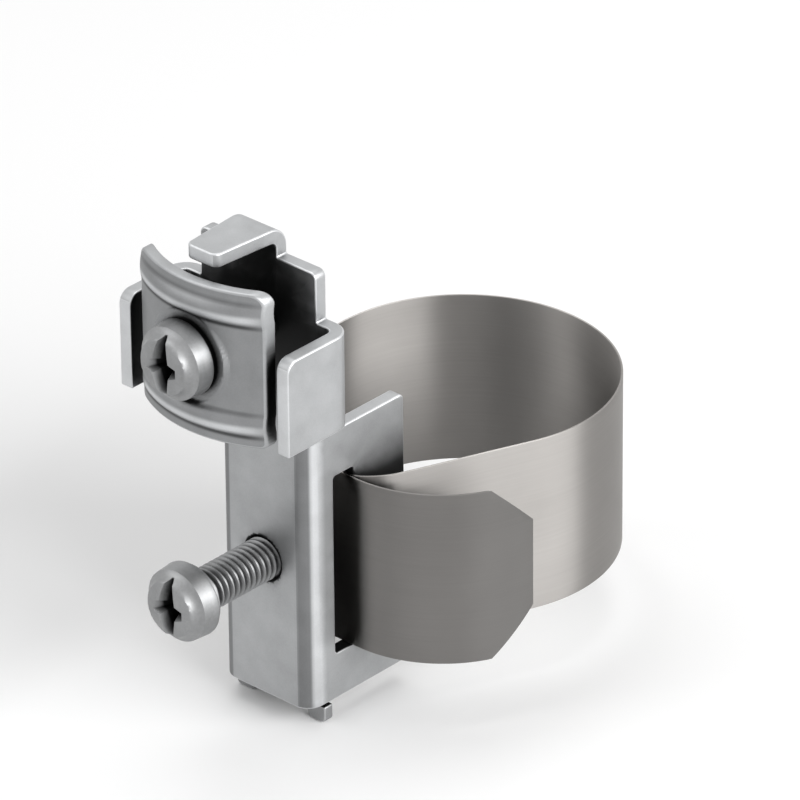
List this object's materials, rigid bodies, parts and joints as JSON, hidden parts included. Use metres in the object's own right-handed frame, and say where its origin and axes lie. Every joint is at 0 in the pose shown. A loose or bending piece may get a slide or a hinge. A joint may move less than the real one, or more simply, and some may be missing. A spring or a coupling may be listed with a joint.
{
  "type": "earthing pipe clamp",
  "caption": "Strap-type earthing clamp: a steel band goes round a pipe and is pulled tight by a screw, and a saddle terminal above holds the earth conductors.",
  "frame": {"origin": "on the pipe's axis, at the middle of the head's channel", "axes": "+Z along the pipe towards the conductor terminal, -Y out of the clamp's front face, +X to the right seen from the front"},
  "size_m": [0.0477, 0.0793, 0.0738],
  "materials": {
    "galvanised_sheet": "hot-dip galvanised pressed sheet, satin grey",
    "spring_strip": "cold-rolled strip, smooth satin with a warm tint",
    "plated_screw": "bright zinc-plated steel"
  },
  "bodies": {
    "head": {"clamp_head": "galvanised_sheet", "tension_strap": "spring_strip"},
    "pressure_piece": {"pressure_piece": "galvanised_sheet"},
    "tension_screw": {"tension_screw": "plated_screw"},
    "saddle": {"clamping_saddle": "galvanised_sheet"},
    "terminal_screw": {"terminal_screw": "plated_screw"}
  },
  "joints": [
    {"name": "pressure_slide", "type": "slide", "parent": "head", "child": "pressure_piece", "axis": [0, 1, 0], "range_m": [-0.0008, 0.0033]},
    {"name": "tension_screw_turn", "type": "hinge", "parent": "pressure_piece", "child": "tension_screw", "pos_m": [0, -0.0393, 0.0004], "axis": [0, 1, 0], "range_deg": [-300, 1200]},
    {"name": "saddle_slide", "type": "slide", "parent": "head", "child": "saddle", "axis": [0, 1, 0], "range_m": [-0.0045, 0.0078]},
    {"name": "terminal_screw_turn", "type": "hinge", "parent": "saddle", "child": "terminal_screw", "pos_m": [0, -0.0393, 0.0364], "axis": [0, 1, 0], "range_deg": [-1632, 2820]}
  ],
  "couplings": [
    {"joint": "tension_screw_turn", "follows": "pressure_slide", "rad_per_m": 6283.2},
    {"joint": "terminal_screw_turn", "follows": "saddle_slide", "rad_per_m": 6283.2}
  ]
}
